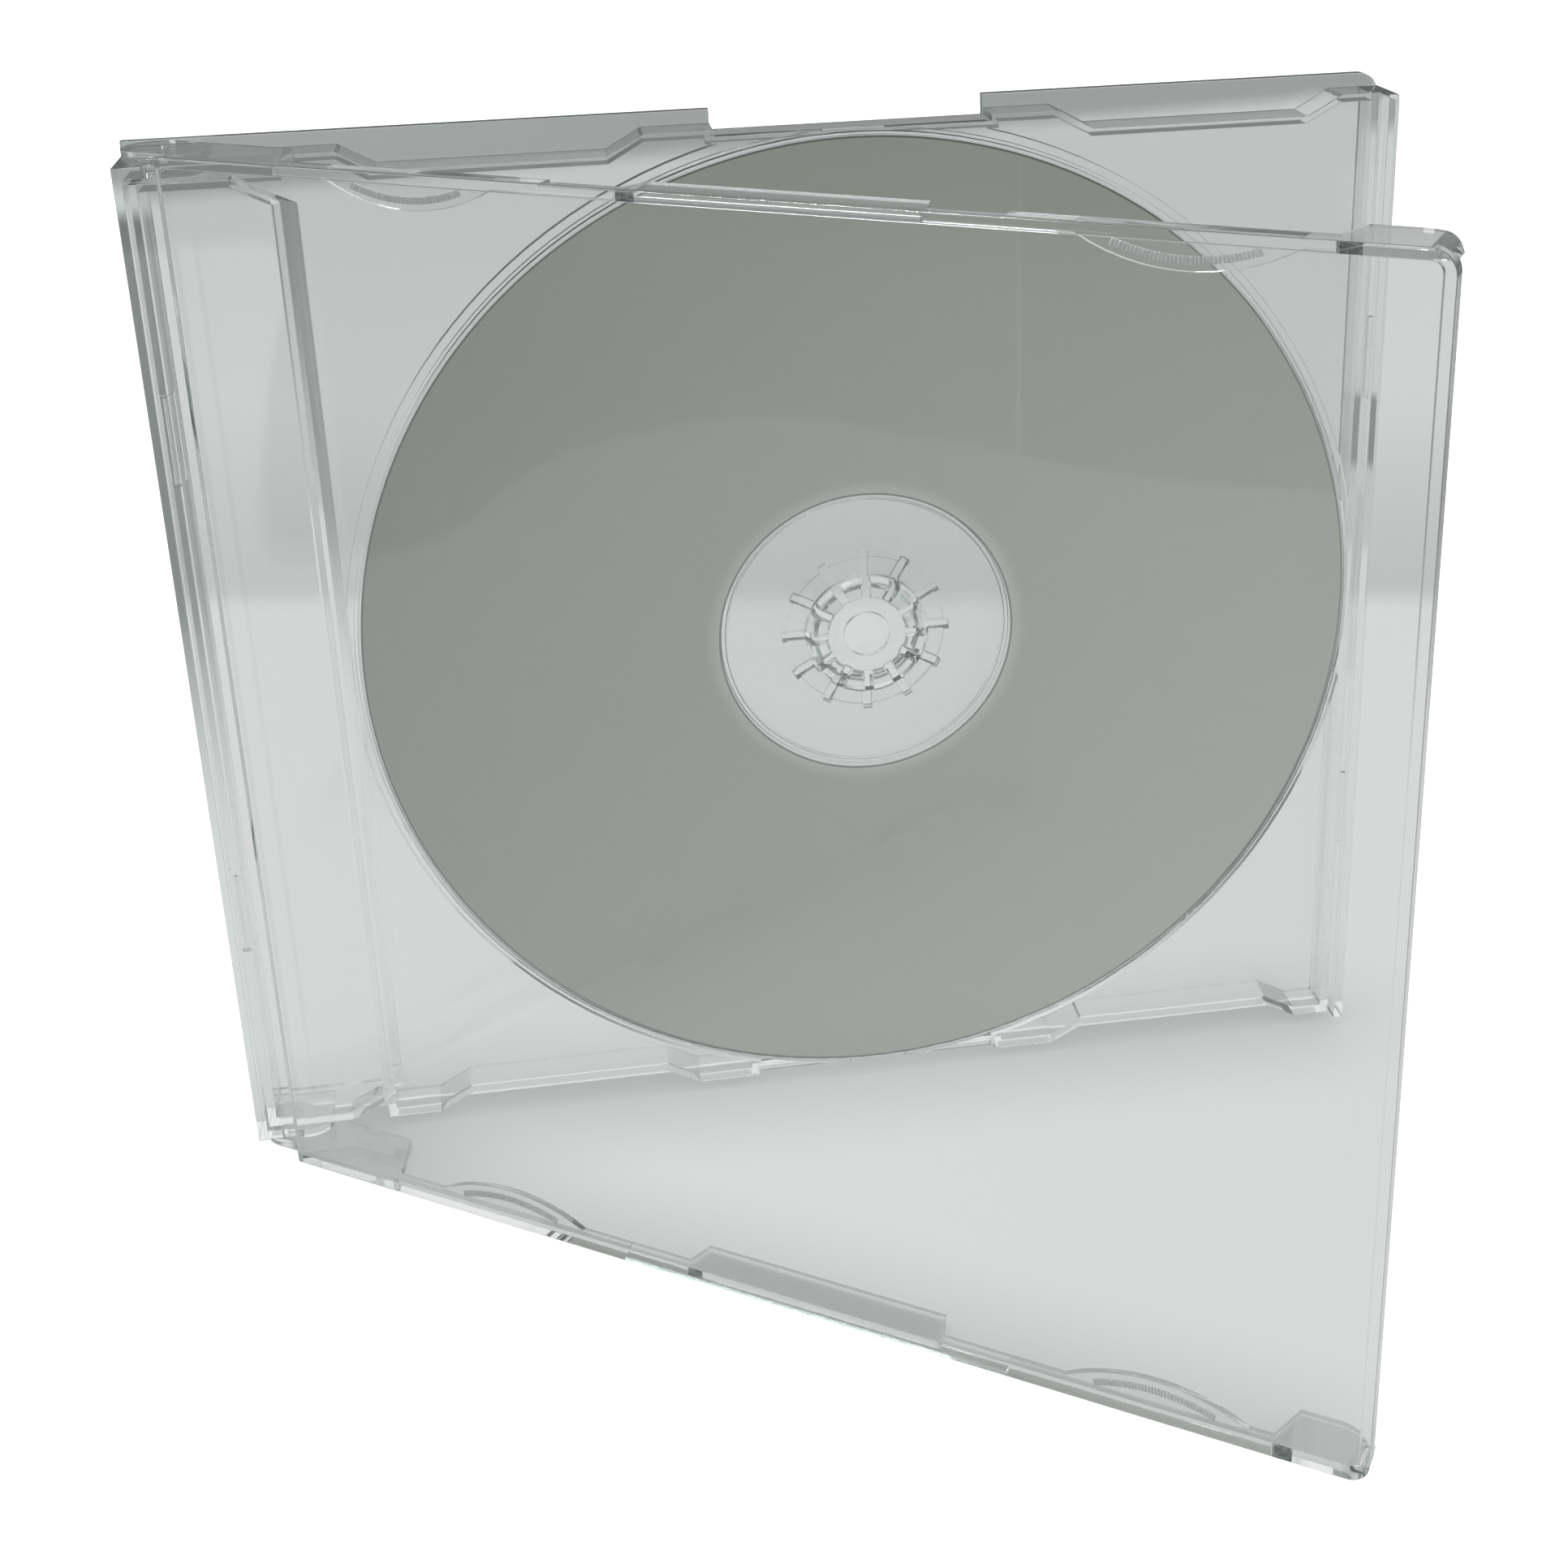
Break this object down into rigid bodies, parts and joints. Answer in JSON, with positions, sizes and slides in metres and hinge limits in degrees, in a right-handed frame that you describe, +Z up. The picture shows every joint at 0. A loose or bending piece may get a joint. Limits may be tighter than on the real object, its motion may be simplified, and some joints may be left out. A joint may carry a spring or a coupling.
{
  "type": "compact disc jewel case",
  "caption": "Clear hinged jewel case standing open on its edge, with a spined back cover, clear tray with a sprung hub, and a plain grey disc.",
  "frame": {"origin": "on the surface that the case stands on, under the centre of the box around the open case", "axes": "+Z up along the hinge, +X from the hinge spine to the back cover's free edge, +Y from the open front cover to the back cover"},
  "size_m": [0.142, 0.0872, 0.125],
  "materials": {
    "clear_cover": "gloss",
    "clear_tray": "gloss",
    "disc_face": "satin"
  },
  "bodies": {
    "back": {"back_cover": "clear_cover", "disc_tray": "clear_tray", "disc": "disc_face"},
    "front": {"front_cover": "clear_cover"}
  },
  "joints": [
    {"name": "cover_hinge", "type": "hinge", "parent": "back", "child": "front", "pos_m": [-0.0668, 0.03837, 0.0625], "axis": [0, 0, -1], "range_deg": [-34.3, 145.7]}
  ]
}
